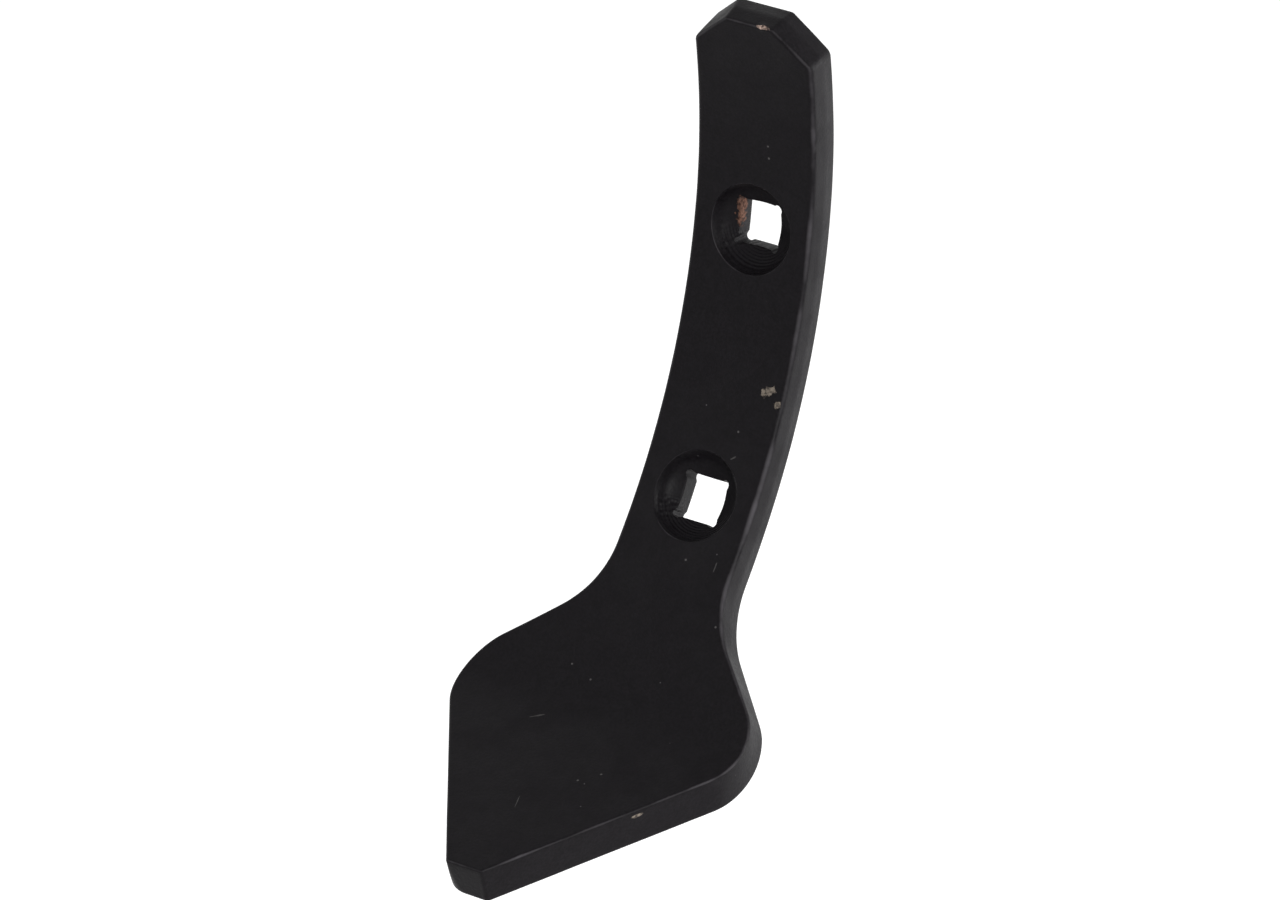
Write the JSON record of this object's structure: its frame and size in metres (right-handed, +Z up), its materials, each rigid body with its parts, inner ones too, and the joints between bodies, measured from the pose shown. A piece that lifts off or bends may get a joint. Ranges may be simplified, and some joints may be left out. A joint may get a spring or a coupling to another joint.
{
  "type": "heart-shaped cultivator share",
  "caption": "Curved steel tillage share: a flat shank with square bolt holes in round countersinks, forged out below into a pointed heart-shaped blade.",
  "frame": {"origin": "centre of the upper bolt seat's mouth, on the hollow front face", "axes": "+X across the share, -Y the way the hollow front face looks and the tip points, +Z up as the share works"},
  "size_m": [0.122, 0.1979, 0.2696],
  "materials": {
    "black_paint": "satin black dip paint on forged steel, lightly chipped at the edges, with rust in the square holes"
  },
  "bodies": {
    "root": {"share": "black_paint"}
  },
  "joints": []
}
